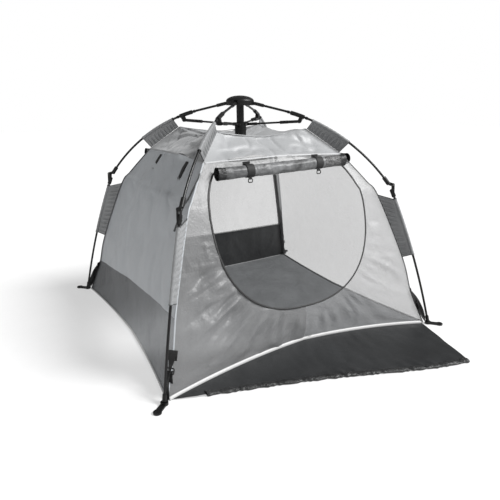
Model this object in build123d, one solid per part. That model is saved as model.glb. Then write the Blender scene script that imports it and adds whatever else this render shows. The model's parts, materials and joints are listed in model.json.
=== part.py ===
from build123d import *
from math import asin, atan2, cos, hypot, radians, sin, sqrt
import os

# Pop-up shelter with an outside umbrella frame. Millimetres, +Z up, the ground is Z = 0,
# the doorway faces -Y and the hub stands over the origin.
# One corner of the frame is drawn in the XZ plane, with X as the distance from the hub's axis,
# and turned about Z to each of the four diagonals.

# ---- driving dimensions -------------------------------------------------------------------
FOOT_RADIUS = 849.0          # a foot from the hub's axis: feet on a 1200 mm square
TOP_HEIGHT = 960.0           # top of the hub cap
ROD_RADIUS = 4.75            # ribs and legs are 9.5 mm rods
FITTING_RADIUS = 8.5         # moulded sockets and collars on the rods
PIN_RADIUS = 2.5
PIN_CLEARANCE = 0.08         # radial, in the parts that turn on a pin
TUBE_RADIUS = 16.0           # centre tube
TUBE_WALL = 2.0
RUNNER_RADIUS = 24.5
RUNNER_CLEARANCE = 0.3
CAP_RADIUS = 59.5
CLOTH = 1.2                  # thickness that stands for the cloth
GAP = 0.25                   # half the slit between two cloth solids

# pivots of one corner, (distance from the axis, height)
HUB_PIVOT = (50.0, 931.0)
STRUT_OUTER_PIVOT = (260.0, 856.0)
STRUT_INNER_PIVOT = (30.0, 842.0)

# the rib runs straight from the hub, then bends down on one arc
RIB_BEND_START = (190.0, 899.0)
RIB_START_SLOPE = radians(13.0)
RIB_END_SLOPE = radians(52.4)
RIB_ARC_RADIUS = 790.0
# the leg is a shallow arc from the knee to the foot
LEG_START_SLOPE = radians(66.4)
LEG_BOW = 14.0
FOOT_HEIGHT = 8.0
KNEE_GAP = 16.4              # rib end to the point where rib and leg lines meet
LEG_GAP = 12.0               # that point to the leg's start
KNEE_OFFSET = 13.0           # knee pin outside that point

# the cloth body's corner line and its middle lines, (distance from the axis, height)
RIDGE, SEAM, KNEE_LINE = (287.0, 827.0), (440.0, 727.0), (548.0, 620.0)
CORNER_LOWER = [KNEE_LINE, (603.0, 555.0), (722.0, 290.0), (768.0, 139.0), (830.0, 1.4)]
ROOF_CENTRE = (4.0, 770.0)
MIDDLE_UPPER = [ROOF_CENTRE, (195.0, 803.0), (309.0, 735.0), (380.0, 620.0)]
MIDDLE_LOWER = [MIDDLE_UPPER[-1], (418.0, 555.0), (494.0, 290.0), (520.0, 139.0), (542.0, 1.4)]
FRONT_LOWER = [MIDDLE_UPPER[-1], (418.0, 555.0), (500.0, 290.0), (528.0, 150.0), (510.0, 40.0)]
CORNER_UPPER = [ROOF_CENTRE, RIDGE, SEAM, KNEE_LINE]

# the D-shaped doorway: a full-cornered half ellipse below, sides that curve in above
DOOR_HALF_WIDTH = 341.0
DOOR_DROP = 360.0
DOOR_POWER = 2.4             # 2 would be an ellipse
DOOR_MIDDLE_HEIGHT = 548.0
DOOR_SIDE = [(337.0, 590.0), (323.0, 630.0), (304.0, 666.0), (286.0, 690.0)]

ROLL_RADIUS = 24.0
ROLL_AXIS = (361.0, 700.0)   # distance from the middle plane, height
ROLL_HALF_LENGTH = 283.0
TIE_THICK = 1.0
TIE_WIDTH = 20.0
TIE_DISTANCE = 153.0         # a tie from the middle of its flap

CORNERS = {"front_left": 225, "front_right": 315, "back_right": 45, "back_left": 135}
WALLS = {"right": 0, "back": 90, "left": 180, "front": 270}
# each half of a rolled flap: its wall, and which side of the wall's middle it is on
ROLL_HALVES = {"front_roll_right": ("front", 1), "front_roll_left": ("front", -1),
               "back_roll_left": ("back", 1), "back_roll_right": ("back", -1),
               "right_roll_back": ("right", 1), "right_roll_front": ("right", -1)}


# ---- small helpers ------------------------------------------------------------------------
def at(point, y=0.0):
    """The 3-D point of an (x, z) pair."""
    return Vector(point[0], y, point[1])


def plate(a, b, radius, width, y=0.0):
    """A plate with round ends from a to b, both (x, z), centred on y."""
    length = hypot(b[0] - a[0], b[1] - a[1])
    middle = ((a[0] + b[0]) / 2, (a[1] + b[1]) / 2)
    along = (b[0] - a[0], 0, b[1] - a[1])
    plane = Plane(origin=at(middle, y), x_dir=along, z_dir=(0, -1, 0))
    return extrude(plane * SlotCenterToCenter(length, 2 * radius), width / 2, both=True)


def outline(points, width, y=0.0):
    """A straight-edged plate over (x, z) points, centred on y."""
    face = make_face(Plane.XZ * Polyline(*points, close=True))
    return Pos(0, y, 0) * extrude(face, width / 2, both=True)


def cross_pin(point, radius, width, y=0.0):
    """A round bar along Y through an (x, z) point."""
    return Pos(point[0], y, point[1]) * Rot(90, 0, 0) * Cylinder(radius, width)


def round_bar(a, b, radius):
    """A straight round bar between two (x, z) points."""
    line = Line(at(a), at(b))
    return sweep(Plane(origin=line @ 0, z_dir=line % 0) * Circle(radius), path=line)


def arc_bar(point_on, start, end, radius):
    """A round bar along part of an arc; point_on gives the (x, z) at a parameter."""
    arc = ThreePointArc(at(point_on(start)), at(point_on((start + end) / 2)), at(point_on(end)))
    return sweep(Plane(origin=arc @ 0, z_dir=arc % 0) * Circle(radius), path=arc)


def ahead(point, slope, distance):
    """A point further along a line that falls at a slope, (x, z)."""
    return point[0] + distance * cos(slope), point[1] - distance * sin(slope)


# ---- the rib's and the leg's lines --------------------------------------------------------
RIB_CENTRE = (RIB_BEND_START[0] - RIB_ARC_RADIUS * sin(RIB_START_SLOPE),
              RIB_BEND_START[1] - RIB_ARC_RADIUS * cos(RIB_START_SLOPE))


def on_rib(slope):
    """The point of the rib's arc where it falls at this slope."""
    return (RIB_CENTRE[0] + RIB_ARC_RADIUS * sin(slope),
            RIB_CENTRE[1] + RIB_ARC_RADIUS * cos(slope))


def rib_slope_at(radius):
    """The slope of the rib's arc at a distance from the hub's axis."""
    return asin((radius - RIB_CENTRE[0]) / RIB_ARC_RADIUS)


RIB_END = on_rib(RIB_END_SLOPE)
KNEE_APEX = ahead(RIB_END, RIB_END_SLOPE, KNEE_GAP)
LEG_START = ahead(KNEE_APEX, LEG_START_SLOPE, LEG_GAP)
KNEE_SLOPE = (RIB_END_SLOPE + LEG_START_SLOPE) / 2
KNEE_PIVOT = (KNEE_APEX[0] + KNEE_OFFSET * sin(KNEE_SLOPE),
              KNEE_APEX[1] + KNEE_OFFSET * cos(KNEE_SLOPE))
FOOT = (FOOT_RADIUS, FOOT_HEIGHT)
LEG_LENGTH = hypot(FOOT[0] - LEG_START[0], FOOT[1] - LEG_START[1])
LEG_CHORD_SLOPE = atan2(LEG_START[1] - FOOT[1], FOOT[0] - LEG_START[0])
LEG_ARC_RADIUS = (LEG_LENGTH ** 2 / 4 + LEG_BOW ** 2) / (2 * LEG_BOW)
LEG_TURN = 2 * asin(LEG_LENGTH / 2 / LEG_ARC_RADIUS)


def on_leg(share):
    """A point of the leg's shallow arc, from 0 at the knee to 1 at the foot."""
    slope = LEG_CHORD_SLOPE + (share - 0.5) * LEG_TURN
    first = LEG_CHORD_SLOPE - LEG_TURN / 2
    return (LEG_START[0] + LEG_ARC_RADIUS * (sin(slope) - sin(first)),
            LEG_START[1] + LEG_ARC_RADIUS * (cos(slope) - cos(first)))


# ---- hub ----------------------------------------------------------------------------------
HUB_TOP = 951.0              # top of the hub disc and of the tube
CHEEK_INNER = 4.5            # a clevis's cheeks stand this far from its middle plane
CHEEK_WIDTH = 4.0
TONGUE = 8.0                 # the eye that turns between the cheeks


def cheeks(make):
    """Both cheeks of a clevis; make(y) builds one, CHEEK_WIDTH wide."""
    y = CHEEK_INNER + CHEEK_WIDTH / 2
    return make(y) + make(-y)


CAP_RIM = 920.0
CAP_SHOULDER = 937.0         # where the dome starts
CAP_WALL = 2.5
CAP_BOSS = 26.0              # the boss that sits on the hub disc


def hub_cap():
    """Domed cap with a notch over each rib and a boss that sits on the hub disc."""
    shoulder, rim, wall = CAP_SHOULDER, CAP_RIM, CAP_WALL
    dome = TOP_HEIGHT - shoulder
    shell = extrude(Plane.XY.offset(rim) * Circle(CAP_RADIUS), shoulder - rim)
    shell += Pos(0, 0, shoulder) * scale(Sphere(1), by=(CAP_RADIUS, CAP_RADIUS, dome))
    inside = extrude(Plane.XY.offset(rim) * Circle(CAP_RADIUS - wall), shoulder - rim)
    inside += Pos(0, 0, shoulder) * scale(
        Sphere(1), by=(CAP_RADIUS - wall, CAP_RADIUS - wall, dome - wall))
    below = Pos(0, 0, rim - 50) * Box(200, 200, 100)
    notch = Pos(CAP_RADIUS - 6, 0, rim + 10) * Box(24, 17, 22)
    cap = shell - inside - below
    cap += extrude(Plane.XY.offset(HUB_TOP) * Circle(CAP_BOSS), TOP_HEIGHT - 4 - HUB_TOP)
    for azimuth in CORNERS.values():
        cap -= Rot(0, 0, azimuth) * notch
    return cap


HUB_DISC_RADIUS = 37.0
HUB_DISC = 6.0               # its thickness


def hub_body():
    """Disc on the centre tube, with a clevis for each rib."""
    disc = extrude(Plane.XY.offset(HUB_TOP - HUB_DISC) * Circle(HUB_DISC_RADIUS), HUB_DISC)
    disc -= extrude(Plane.XY.offset(HUB_TOP - 11) * Circle(TUBE_RADIUS), 20)
    arm = [(28, 950.5), (40, 949), (50, 944.5), (55, 938), (55, 926), (46, 922.5), (42, 926), (41, 945),
           (28, 945)]
    clevis = cheeks(lambda y: outline(arm, CHEEK_WIDTH, y))
    clevis -= cross_pin(HUB_PIVOT, PIN_RADIUS, 40)
    body = disc
    for azimuth in CORNERS.values():
        body += Rot(0, 0, azimuth) * clevis
    return body


TUBE_FOOT = 782.0
STOP_RADIUS = 22.0
STOP_THICK = 6.0


def centre_tube():
    """Tube that the runner slides on, closed by a plug at its foot."""
    tube = extrude(Plane.XY.offset(TUBE_FOOT) * Circle(TUBE_RADIUS), HUB_TOP - TUBE_FOOT)
    return tube - extrude(Plane.XY.offset(TUBE_FOOT + 8) * Circle(TUBE_RADIUS - TUBE_WALL), HUB_TOP)


def tube_stop():
    """Flange below the tube that the open runner rests on."""
    return extrude(Plane.XY.offset(TUBE_FOOT - STOP_THICK) * Circle(STOP_RADIUS), STOP_THICK)


def pins_at(pivot, width):
    """One pin on each diagonal."""
    head = cross_pin(pivot, PIN_RADIUS + 1.5, 1.5, width / 2 + 0.75)
    other = cross_pin(pivot, PIN_RADIUS + 1.5, 1.5, -width / 2 - 0.75)
    pin = cross_pin(pivot, PIN_RADIUS, width) + head + other
    return [Rot(0, 0, azimuth) * pin for azimuth in CORNERS.values()]


PIN_WIDTH = 2 * (CHEEK_INNER + CHEEK_WIDTH)


# ---- runner -------------------------------------------------------------------------------
RUNNER_BOTTOM = TUBE_FOOT + 0.1
RUNNER_TOP = 849.0
GRIP_RING = 1.6              # how far a grip ring stands out


def runner():
    """Sliding collar with a clevis for each strut and two grip rings."""
    body = extrude(Plane.XY.offset(RUNNER_BOTTOM) * Circle(RUNNER_RADIUS), RUNNER_TOP - RUNNER_BOTTOM)
    for height in (RUNNER_BOTTOM, RUNNER_BOTTOM + 34):
        body += extrude(Plane.XY.offset(height) * Circle(RUNNER_RADIUS + GRIP_RING), 5)
    ear = cheeks(lambda y: plate((18, STRUT_INNER_PIVOT[1] - 1), STRUT_INNER_PIVOT, 6.8, CHEEK_WIDTH, y))
    slot = Pos(36, 0, 840) * Box(34, 2 * CHEEK_INNER, 26)
    hole = cross_pin(STRUT_INNER_PIVOT, PIN_RADIUS, 40)
    for azimuth in CORNERS.values():
        body += Rot(0, 0, azimuth) * ear
    for azimuth in CORNERS.values():
        body -= Rot(0, 0, azimuth) * slot
        body -= Rot(0, 0, azimuth) * hole
    return body - extrude(Plane.XY.offset(770) * Circle(TUBE_RADIUS + RUNNER_CLEARANCE), 100)


# ---- one corner of the frame --------------------------------------------------------------
FERRULE_START = ahead(HUB_PIVOT, RIB_START_SLOPE, 15.0)
FERRULE_END = ahead(HUB_PIVOT, RIB_START_SLOPE, 56.0)
FERRULE_RADIUS = 7.0
ROD_START = ahead(HUB_PIVOT, RIB_START_SLOPE, 24.0)


def rib():
    """The bent rod and, as a second solid, its moulded eye and ferrule at the hub."""
    straight = Line(at(ROD_START), at(RIB_BEND_START))
    middle_slope = (RIB_START_SLOPE + RIB_END_SLOPE) / 2
    bend = ThreePointArc(at(RIB_BEND_START), at(on_rib(middle_slope)), at(RIB_END))
    rod = sweep(Plane(origin=straight @ 0, z_dir=straight % 0) * Circle(ROD_RADIUS), path=straight + bend)
    end = plate(HUB_PIVOT, ahead(HUB_PIVOT, RIB_START_SLOPE, 20.0), 5.8, TONGUE)
    end += round_bar(FERRULE_START, FERRULE_END, FERRULE_RADIUS)
    end -= round_bar(ROD_START, FERRULE_END, ROD_RADIUS)
    end -= cross_pin(HUB_PIVOT, PIN_RADIUS + PIN_CLEARANCE, 40)
    return [rod, end]


LOBE_WIDTH = 16.0


BRACKET_FROM, BRACKET_TO = 222.0, 280.0
LOBE_AT = 268.0              # where the lobe leaves the collar


def bracket():
    """Collar on the rib with a lobe that the strut's fork straddles."""
    start, end = rib_slope_at(BRACKET_FROM), rib_slope_at(BRACKET_TO)
    top = on_rib(rib_slope_at(LOBE_AT))
    body = arc_bar(on_rib, start, end, FITTING_RADIUS)
    body += plate((top[0], top[1] - 4), STRUT_OUTER_PIVOT, 7.5, LOBE_WIDTH)
    body += cross_pin(STRUT_OUTER_PIVOT, PIN_RADIUS + 1, LOBE_WIDTH + 1.6)
    return body - arc_bar(on_rib, start - 0.01, end + 0.01, ROD_RADIUS)


KNEE_TONGUE = 6.0
KNEE_BOSS = 6.5
SOCKET_DEPTH = 30.0


def knee_upper():
    """Socket on the rib's end with a tongue out to the knee pin."""
    start = RIB_END_SLOPE - SOCKET_DEPTH / RIB_ARC_RADIUS
    stop = RIB_END_SLOPE + 0.03 / RIB_ARC_RADIUS
    tip = ahead(RIB_END, RIB_END_SLOPE, 5)
    body = arc_bar(on_rib, start, RIB_END_SLOPE, FITTING_RADIUS)
    body += round_bar(RIB_END, tip, FITTING_RADIUS)
    body += plate(RIB_END, KNEE_PIVOT, KNEE_BOSS, KNEE_TONGUE)
    body -= arc_bar(on_rib, start - 0.01, stop, ROD_RADIUS)
    return body - cross_pin(KNEE_PIVOT, PIN_RADIUS + PIN_CLEARANCE, 40)


FORK_REACH = 50.0            # fork depth, from the outer pivot back to its bridge
FORK_INNER = 9.3
FORK_CHEEK = 3.0


def strut():
    """Strut rod, its eye at the runner and its fork at the bracket, as three solids."""
    slope = -atan2(STRUT_OUTER_PIVOT[1] - STRUT_INNER_PIVOT[1], STRUT_OUTER_PIVOT[0] - STRUT_INNER_PIVOT[0])
    length = hypot(STRUT_OUTER_PIVOT[1] - STRUT_INNER_PIVOT[1], STRUT_OUTER_PIVOT[0] - STRUT_INNER_PIVOT[0])

    def along(distance):
        return ahead(STRUT_INNER_PIVOT, slope, distance)

    rod_start, rod_end = along(20), along(length - FORK_REACH - 4)
    rod = round_bar(rod_start, rod_end, 4.0)
    eye = plate(STRUT_INNER_PIVOT, along(16), 5.6, TONGUE)
    eye += round_bar(along(14), along(44), 6.0)
    eye -= round_bar(rod_start, along(60), 4.0)
    eye -= cross_pin(STRUT_INNER_PIVOT, PIN_RADIUS + PIN_CLEARANCE, 40)
    fork = round_bar(along(length - FORK_REACH - 34), along(length - FORK_REACH), 6.5)
    bridge = 2 * (FORK_INNER + FORK_CHEEK)
    fork += plate(along(length - FORK_REACH - 9), along(length - FORK_REACH), 5.5, bridge)
    for side in (1, -1):
        y = side * (FORK_INNER + FORK_CHEEK / 2)
        fork += plate(along(length - FORK_REACH - 4), STRUT_OUTER_PIVOT, 5.5, FORK_CHEEK, y)
        fork += cross_pin(STRUT_OUTER_PIVOT, 3.6, 1.8, side * (FORK_INNER + FORK_CHEEK + 0.9))
    slot_end = along(length - FORK_REACH + 5.6)
    fork -= plate(slot_end, ahead(STRUT_OUTER_PIVOT, slope, 20), 6.6, 2 * FORK_INNER)
    fork -= round_bar(along(length - 120), rod_end, 4.0)
    return [rod, eye, fork]


def leg():
    return arc_bar(on_leg, 0.0, 0.992, ROD_RADIUS)


def knee_lower():
    """Socket on the leg's top with two cheeks round the knee tongue, and the knee pin."""
    reach = 34.0 / LEG_LENGTH
    grip = 20.0 / LEG_LENGTH
    body = arc_bar(on_leg, 0.004, reach, FITTING_RADIUS)
    for side in (1, -1):
        y = side * (KNEE_TONGUE / 2 + 0.4 + CHEEK_WIDTH / 2)
        body += plate(KNEE_PIVOT, on_leg(grip), KNEE_BOSS, CHEEK_WIDTH, y)
    body -= arc_bar(on_leg, -0.02, reach + 0.01, ROD_RADIUS)
    body -= cross_pin(KNEE_PIVOT, PIN_RADIUS, 40)
    width = KNEE_TONGUE + 0.8 + 2 * CHEEK_WIDTH
    pin = cross_pin(KNEE_PIVOT, PIN_RADIUS, width)
    for side in (1, -1):
        pin += cross_pin(KNEE_PIVOT, PIN_RADIUS + 1.7, 1.6, side * (width / 2 + 0.8))
    return [body, pin]


PEG_HOLE_RADIUS = 4.5
PEG_HOLE_DISTANCE = 898.0
FOOT_FLANGE = 10.0           # thickness of the disc under the leg


def foot():
    """Cap on the leg's end with a tab that points outward and takes a ground peg."""
    body = arc_bar(on_leg, 0.955, 0.994, FITTING_RADIUS - 1.0)
    body += Pos(FOOT_RADIUS, 0, FOOT_FLANGE / 2) * Cylinder(13, FOOT_FLANGE)
    tab = Pos((FOOT_RADIUS + PEG_HOLE_DISTANCE) / 2, 0, 3) * Box(PEG_HOLE_DISTANCE - FOOT_RADIUS, 20, 6)
    body += tab + Pos(PEG_HOLE_DISTANCE, 0, 3) * Cylinder(14, 6)
    body -= Pos(PEG_HOLE_DISTANCE, 0, 3) * Cylinder(PEG_HOLE_RADIUS, 20)
    return body - arc_bar(on_leg, 0.9, 0.992, ROD_RADIUS)


STRAP_TOP = (772.2, 134.0)
STRAP_WIDTH = 25.0


def corner_strap():
    """Webbing from the cloth body's corner down to the foot's flange."""
    return plate(STRAP_TOP, (FOOT_RADIUS - 11, FOOT_FLANGE + 1.0), 1.0, STRAP_WIDTH)


# ---- cloth --------------------------------------------------------------------------------
def section(points, plane_point):
    """A closed outline CLOTH thick under a profile, placed by plane_point(distance, height)."""
    inner = [(x - CLOTH, z - CLOTH) for x, z in points[1:-1]]
    first, last = points[0], points[-1]
    ring = points + [(last[0] - 1.4 * CLOTH, last[1])] + inner[::-1] + [(first[0], first[1] - 1.4 * CLOTH)]
    return make_face(Polyline(*[plane_point(x, z) for x, z in ring], close=True))


def half_panel(corner_line, middle_line):
    """Half a side's cloth: a ruled skin from the middle plane to the corner diagonal."""
    root2 = sqrt(2)
    corner = section(corner_line, lambda r, z: (r / root2 + GAP, r / root2 - GAP, z))
    middle = section(middle_line, lambda b, z: (b, GAP, z))
    return loft([middle, corner], ruled=True)


def doorway():
    """Prism through the front wall with the door's D shape."""
    plane = Plane(origin=(0, 0, DOOR_MIDDLE_HEIGHT), x_dir=(0, 1, 0), z_dir=(1, 0, 0))
    lower = []
    for step in range(17):
        angle = radians(180 + 180 * step / 16)
        across = DOOR_HALF_WIDTH * abs(cos(angle)) ** (2 / DOOR_POWER)
        down = DOOR_DROP * abs(sin(angle)) ** (2 / DOOR_POWER)
        lower.append((across if step > 8 else -across, -down))
    side = [(DOOR_HALF_WIDTH, 0)] + [(x, z - DOOR_MIDDLE_HEIGHT) for x, z in DOOR_SIDE]
    other = [(-x, z) for x, z in side[::-1]]
    edge = Spline(*lower, tangents=[(0, -1), (0, 1)]) + Spline(*side)
    edge += Line(side[-1], other[0]) + Spline(*other)
    return extrude(plane * make_face(edge), 900)


def side_halves(name, upper):
    """Both cloth halves of one side as {side of the middle plane: solid}, before turning."""
    if upper:
        half = half_panel(CORNER_UPPER, MIDDLE_UPPER)
    elif name == "front":
        half = half_panel(CORNER_LOWER, FRONT_LOWER)
    else:
        half = half_panel(CORNER_LOWER, MIDDLE_LOWER)
    if name == "front":
        half -= doorway()
    return {1: half, -1: mirror(half, about=Plane.XZ)}


def cloth_of_corner(corner, upper):
    """The two half panels that meet at a corner."""
    azimuth = CORNERS[corner]
    solids = []
    for name, facing in WALLS.items():
        for side, half in side_halves(name, upper).items():
            if (facing + 45 * side) % 360 == azimuth:
                solids.append(Rot(0, 0, facing) * half)
    return solids


FIN_WIDTH = 4.0
SLEEVE_RADIUS = 6.4
FIN_SETBACK = 5.3            # the fin's outer edge from the rod's axis, inside the sleeve's wall


def fin(point_on, start, end, inner):
    """Pleated cloth web with a sleeve round the rod; inner is its edge at the cloth body."""
    edge = []
    for step in range(6):
        here = start + (end - start) * step / 5
        point, near = point_on(here), point_on(here + (end - start) * 1e-3)
        length = hypot(near[0] - point[0], near[1] - point[1])
        along = ((near[0] - point[0]) / length, (near[1] - point[1]) / length)
        edge.append((point[0] + along[1] * FIN_SETBACK, point[1] - along[0] * FIN_SETBACK))
    web = outline(edge + inner[::-1], FIN_WIDTH)
    return web + arc_bar(point_on, start, end, SLEEVE_RADIUS) - arc_bar(point_on, start, end, ROD_RADIUS)


UPPER_FIN_FROM, UPPER_FIN_TO = 314.0, 470.0
UPPER_FIN_INNER = [(293.0, 828.0), (430.0, 738.0)]
LOWER_FIN_FROM, LOWER_FIN_TO = 0.068, 0.485
LOWER_FIN_INNER = [(601.3, 561.0), (723.5, 292.0)]


def upper_fin():
    """The web between the rib and the roof's corner."""
    return fin(on_rib, rib_slope_at(UPPER_FIN_FROM), rib_slope_at(UPPER_FIN_TO), UPPER_FIN_INNER)


def lower_fin():
    """The web between the leg and the wall's corner."""
    return fin(on_leg, LOWER_FIN_FROM, LOWER_FIN_TO, LOWER_FIN_INNER)


def roll_half():
    """Half of a rolled-up flap and the strap that ties it up, on the +Y side of the right wall."""
    reach = ROLL_HALF_LENGTH - GAP
    roll = Pos(ROLL_AXIS[0], GAP + reach / 2, ROLL_AXIS[1]) * Rot(90, 0, 0) * Cylinder(ROLL_RADIUS, reach)
    tie = Cylinder(ROLL_RADIUS + TIE_THICK, TIE_WIDTH) - Cylinder(ROLL_RADIUS, TIE_WIDTH)
    return [roll, Pos(ROLL_AXIS[0], TIE_DISTANCE, ROLL_AXIS[1]) * Rot(90, 0, 0) * tie]


def floor_quarter(corner):
    """A quarter of the floor sheet, with the hem drawn in at the middle of each side."""
    x_sign = -1 if "left" in corner else 1
    y_sign = -1 if "front" in corner else 1
    reach = CORNER_LOWER[-1][0] / sqrt(2)
    side_reach = MIDDLE_LOWER[-1][0]
    end_reach = FRONT_LOWER[-1][0] if y_sign < 0 else side_reach
    points = [(GAP, GAP), (GAP, end_reach), (reach, reach), (side_reach, GAP)]
    face = make_face(Polyline(*[(x * x_sign, y * y_sign) for x, y in points], close=True))
    return extrude(face, CLOTH)


# the apron fans out from the front hem: a short left end, a long right end
APRON_THICK = 2.4
APRON_HEM = 12.0
APRON_INNER = -512.0         # where the front hem is drawn in
APRON_LEFT_END = [(-587.0, -592.0), (-575.0, -607.0)]
APRON_LEFT_EDGE = [(-462.0, -632.0), (-131.0, -724.0), (-GAP, -768.0)]
APRON_RIGHT_END = [(587.0, -592.0), (585.0, -612.0)]
APRON_RIGHT_EDGE = [(475.0, -925.0), (347.0, -894.0), (206.0, -846.0), (GAP, -768.0)]


def apron(end, edge):
    """A lined half of the apron with a thick gathered hem along its outer edge."""
    sheet = make_face(Polyline((edge[-1][0], APRON_INNER), *end, *edge, close=True))
    inside = [(x, y + APRON_HEM) for x, y in edge]
    hem = make_face(Polyline(*edge, *inside[::-1], close=True))
    return extrude(sheet, APRON_THICK) + extrude(hem, APRON_HEM)


# ---- everything in its place --------------------------------------------------------------
def save(name, solids):
    """Write one node; solids is a shape or a list of shapes."""
    shapes = solids if isinstance(solids, list) else [solids]
    pieces = [solid for shape in shapes for solid in shape.solids()]
    whole = pieces[0] if len(pieces) == 1 else Compound(children=pieces)
    export_step(whole, f"parts/{name}.step")


def save_corners(name, solids):
    """Write one node on each diagonal from solids drawn in the XZ plane."""
    shapes = solids if isinstance(solids, list) else [solids]
    for corner, azimuth in CORNERS.items():
        save(f"{name}_{corner}", [Rot(0, 0, azimuth) * shape for shape in shapes])


def save_cloth():
    for corner, azimuth in CORNERS.items():
        turn = Rot(0, 0, azimuth)
        save(f"canopy_{corner}", cloth_of_corner(corner, True) + [turn * upper_fin()])
        save(f"wall_{corner}", cloth_of_corner(corner, False) + [turn * lower_fin()])
        save(f"floor_{corner}", floor_quarter(corner))
    save("apron_left", apron(APRON_LEFT_END, APRON_LEFT_EDGE))
    save("apron_right", apron(APRON_RIGHT_END, APRON_RIGHT_EDGE))
    for name, (wall, side) in ROLL_HALVES.items():
        half = roll_half() if side > 0 else [mirror(solid, about=Plane.XZ) for solid in roll_half()]
        save(name, [Rot(0, 0, WALLS[wall]) * solid for solid in half])


os.makedirs("parts", exist_ok=True)
save("hub_cap", hub_cap())
save("hub_body", hub_body())
save("centre_tube", centre_tube())
save("tube_stop", tube_stop())
save("rib_pins", pins_at(HUB_PIVOT, PIN_WIDTH))
save("runner", runner())
save("strut_pins", pins_at(STRUT_INNER_PIVOT, PIN_WIDTH))
save_corners("rib", rib())
save_corners("bracket", bracket())
save_corners("knee_upper", knee_upper())
save_corners("strut", strut())
save_corners("knee_lower", knee_lower())
save_corners("leg", leg())
save_corners("foot", foot())
save_corners("strap", corner_strap())
save_cloth()
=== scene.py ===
import json
import math
import bmesh
import bpy
from mathutils import Matrix, Vector, noise

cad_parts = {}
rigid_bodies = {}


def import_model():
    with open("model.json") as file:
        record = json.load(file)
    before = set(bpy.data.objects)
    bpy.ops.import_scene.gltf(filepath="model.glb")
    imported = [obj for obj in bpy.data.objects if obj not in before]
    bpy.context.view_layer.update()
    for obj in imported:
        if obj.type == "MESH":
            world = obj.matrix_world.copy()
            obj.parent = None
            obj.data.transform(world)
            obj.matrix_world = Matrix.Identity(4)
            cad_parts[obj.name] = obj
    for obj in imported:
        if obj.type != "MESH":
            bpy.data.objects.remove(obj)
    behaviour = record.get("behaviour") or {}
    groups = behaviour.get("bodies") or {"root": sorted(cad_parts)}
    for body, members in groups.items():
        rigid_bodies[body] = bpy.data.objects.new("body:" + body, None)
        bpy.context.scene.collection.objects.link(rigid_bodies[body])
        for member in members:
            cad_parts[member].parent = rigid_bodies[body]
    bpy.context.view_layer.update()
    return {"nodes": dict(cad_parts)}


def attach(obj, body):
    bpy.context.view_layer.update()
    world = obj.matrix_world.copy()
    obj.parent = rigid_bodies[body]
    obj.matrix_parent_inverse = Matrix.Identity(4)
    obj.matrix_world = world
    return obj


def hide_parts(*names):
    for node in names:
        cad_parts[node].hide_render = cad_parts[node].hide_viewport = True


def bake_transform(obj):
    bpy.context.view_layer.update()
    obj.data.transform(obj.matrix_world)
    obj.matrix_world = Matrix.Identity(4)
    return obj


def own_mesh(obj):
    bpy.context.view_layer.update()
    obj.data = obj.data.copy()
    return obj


# Pop-up shelter. Shapes are worked out in millimetres in the CAD frame and stored in metres.

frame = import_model()
MM = 0.001
ROOT2 = math.sqrt(2)
ORIGIN, UP = Vector((0, 0, 0)), Vector((0, 0, 1))

# ---- dimensions shared with the CAD, in millimetres ---------------------------------------
FACING = {"right": 0, "back": 90, "left": 180, "front": 270}
CORNERS = {"front_left": 225, "front_right": 315, "back_right": 45, "back_left": 135}
# levels of the cloth: roof centre, ridge, seam, knee line, and four more down to the ground
CORNER_LINE = [(4, 770), (287, 827), (440, 727), (548, 620), (603, 555), (722, 290), (768, 139), (830, 2)]
MIDDLE_LINE = [(4, 770), (195, 803), (309, 735), (380, 620), (418, 555), (494, 290), (520, 139), (542, 2)]
FRONT_LINE = MIDDLE_LINE[:5] + [(500, 290), (528, 150), (510, 40)]
RIDGE, SEAM, KNEE, HEM = 1, 2, 3, 7
BAND_HEIGHT = 222            # top of the solid band at the foot of the back wall
DOOR = {"half_width": 341, "drop": 360, "power": 2.4, "middle": 548}
DOOR_SIDE = [(337, 590), (323, 630), (304, 666), (286, 690)]
LEFT_ZIP = [(338, 694), (348, 680), (354, 650), (360, 620), (362, 595), (358, 570), (350, 540), (340, 500)]
FLAP_EDGE, FLAP_LEAN = 207, 0.085        # the closed left flap's lower edge: height, rise towards the front
ROLL_RADIUS, ROLL_OUT, ROLL_HEIGHT, ROLL_REACH, TIE_AT = 24, 361, 700, 283, 153
SLEEVE_RADIUS = 6.7          # of a web's sleeve round its rod
RIB_BEND, RIB_SLOPE, RIB_ARC = (190, 899), math.radians(13), 790
LEG_TOP, LEG_FOOT, LEG_BOW = (653, 587.3), (849, 8), 14
# webs: the body's corner line they start from, and the stretch of the rod that their sleeve covers
UPPER_WEB = {"inner": [(291, 826), (432, 733)], "from": 314, "to": 470, "pleats": 10}
LOWER_WEB = {"inner": [(599, 562), (720, 297)], "from": 0.068, "to": 0.485, "pleats": 13}
STRAP_TOP, STRAP_FOOT, STRAP_WIDTH = (771.5, 139), (838, 11), 25
APRON_LEFT = [(-462, -630), (-339, -663), (-220, -697), (-131, -724), (0, -768)]
APRON_RIGHT = [(0, -768), (61, -790), (206, -847), (347, -896), (475, -924)]
DOOR_MEAN = {"wall": 336, "roof": 305.5}     # mean half width up to the knee line and above it
HEM_CASING = 0.050           # metres of extra cloth in the apron's gathered hem
CUT_FOOT = 1.4               # height of the walls' cut edge where they reach the ground


def wobble(x, y, z):
    """Smooth noise between about -1 and 1."""
    return noise.noise(Vector((x, y, z)))


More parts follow.
